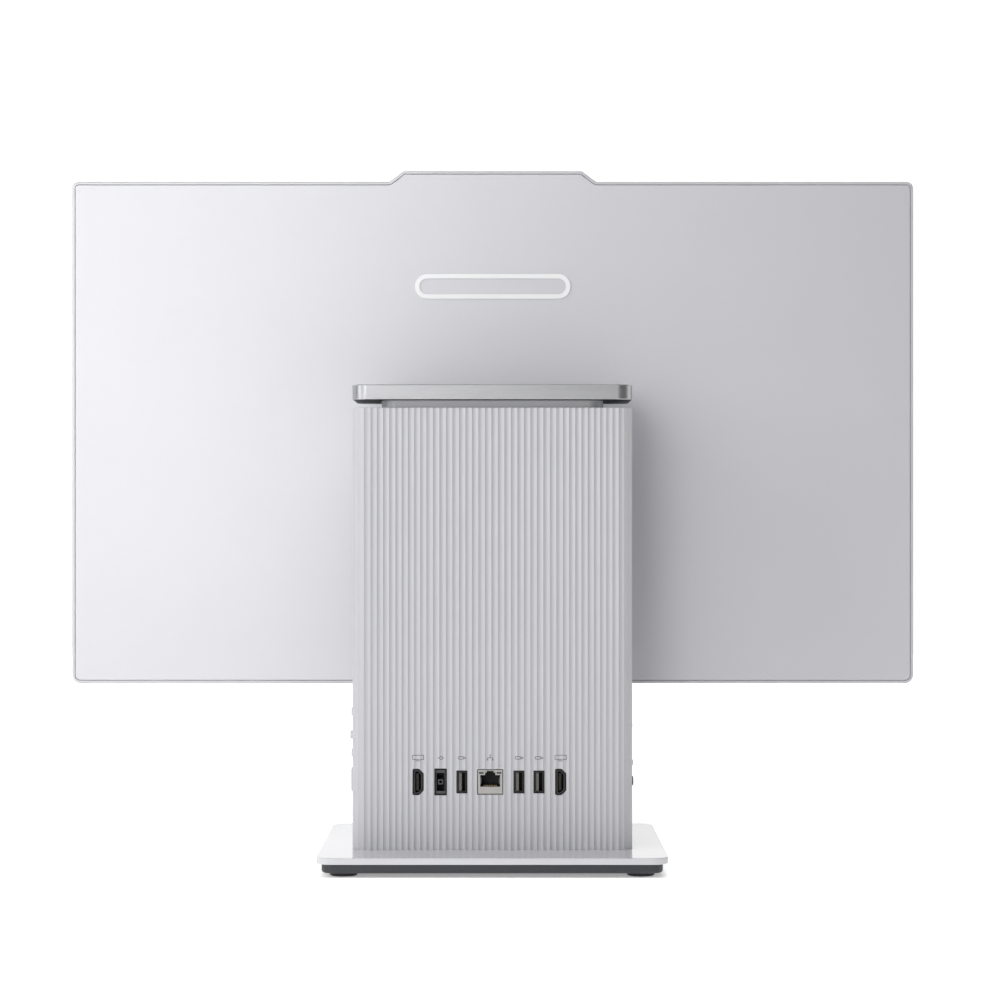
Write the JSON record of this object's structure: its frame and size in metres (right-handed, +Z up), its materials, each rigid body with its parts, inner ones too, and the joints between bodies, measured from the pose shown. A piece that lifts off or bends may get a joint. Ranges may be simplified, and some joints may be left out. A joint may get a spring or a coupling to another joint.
{
  "type": "all-in-one desktop computer",
  "caption": "All-in-one PC: wide display tilting on an arm above a fluted column with rear ports, on a flat weighted base.",
  "frame": {"origin": "on the desk under the middle of the base", "axes": "+Z up, -Y the way the screen faces, +Y the rear with the ports, +X the user's right"},
  "size_m": [0.541, 0.185, 0.4358],
  "materials": {
    "silver_plastic": "satin",
    "fluted_plastic": "satin",
    "rim_plastic": "satin",
    "brushed_aluminium": "brushed",
    "plate_paint": "satin",
    "dark_plastic": "matte",
    "rubber": "matte",
    "steel": "brushed",
    "black_plastic": "satin",
    "nickel": "satin",
    "circuit_board": "satin",
    "chip": "satin",
    "screen": "gloss",
    "panel_metal": "matte",
    "emblem": "gloss"
  },
  "bodies": {
    "root": {"base_plate": "plate_paint", "base_tray": "dark_plastic", "base_weight": "steel", "foot_front_left": "rubber", "foot_front_right": "rubber", "foot_rear_left": "rubber", "foot_rear_right": "rubber", "column_rear_shell": "fluted_plastic", "column_front_shell": "fluted_plastic", "column_cap": "silver_plastic", "chassis_frame": "steel", "mainboard": "circuit_board", "button_board": "circuit_board", "processor": "chip", "heat_sink": "brushed_aluminium", "fan_housing": "black_plastic", "memory_socket": "chip", "memory_module_1": "circuit_board", "memory_module_2": "circuit_board", "solid_state_drive": "chip", "wireless_card": "circuit_board", "coin_cell": "nickel", "hdmi_output": "black_plastic", "power_inlet": "black_plastic", "usb_port_1": "black_plastic", "lan_port": "nickel", "usb_port_2": "black_plastic", "usb_port_3": "black_plastic", "hdmi_input": "black_plastic", "side_usb_port": "black_plastic", "usb_c_port": "nickel", "audio_jack": "black_plastic", "status_light": "black_plastic", "neck": "silver_plastic", "arm_plate": "brushed_aluminium", "arm_bracket": "steel", "hinge_pin": "nickel", "friction_washer_left": "nickel", "friction_washer_right": "nickel", "hinge_cover": "silver_plastic", "display_cable_lower": "black_plastic"},
    "display": {"display_bracket": "steel", "display_cable_upper": "black_plastic", "display_rear_cover": "silver_plastic", "display_mount_plate": "steel", "rear_emblem": "emblem", "display_mid_frame": "rim_plastic", "front_bezel": "silver_plastic", "screen_glass": "screen", "backlight_module": "panel_metal", "camera_module": "circuit_board", "driver_board": "circuit_board", "speaker_left": "black_plastic", "speaker_right": "black_plastic"},
    "fan_rotor": {"fan_rotor": "black_plastic"},
    "menu_button": {"menu_button": "silver_plastic"},
    "power_button": {"power_button": "silver_plastic"},
    "input_button": {"input_button": "silver_plastic"},
    "camera_shutter": {"camera_shutter": "dark_plastic"}
  },
  "joints": [
    {"name": "display_tilt", "type": "hinge", "parent": "root", "child": "display", "pos_m": [0, -0.035, 0.289], "axis": [-1, 0, 0], "range_deg": [-5, 20]},
    {"name": "fan_spin", "type": "hinge", "parent": "root", "child": "fan_rotor", "pos_m": [0, -0.0018, 0.175], "axis": [0, 1, 0], "continuous": true},
    {"name": "menu_button_press", "type": "slide", "parent": "root", "child": "menu_button", "axis": [-1, 0, 0], "range_m": [0, 0.0005], "stiffness_N_per_m": 800},
    {"name": "power_button_press", "type": "slide", "parent": "root", "child": "power_button", "axis": [-1, 0, 0], "range_m": [0, 0.0005], "stiffness_N_per_m": 800},
    {"name": "input_button_press", "type": "slide", "parent": "root", "child": "input_button", "axis": [-1, 0, 0], "range_m": [0, 0.0005], "stiffness_N_per_m": 800},
    {"name": "shutter_slide", "type": "slide", "parent": "display", "child": "camera_shutter", "axis": [1, 0, 0], "range_m": [0, 0.009]}
  ]
}
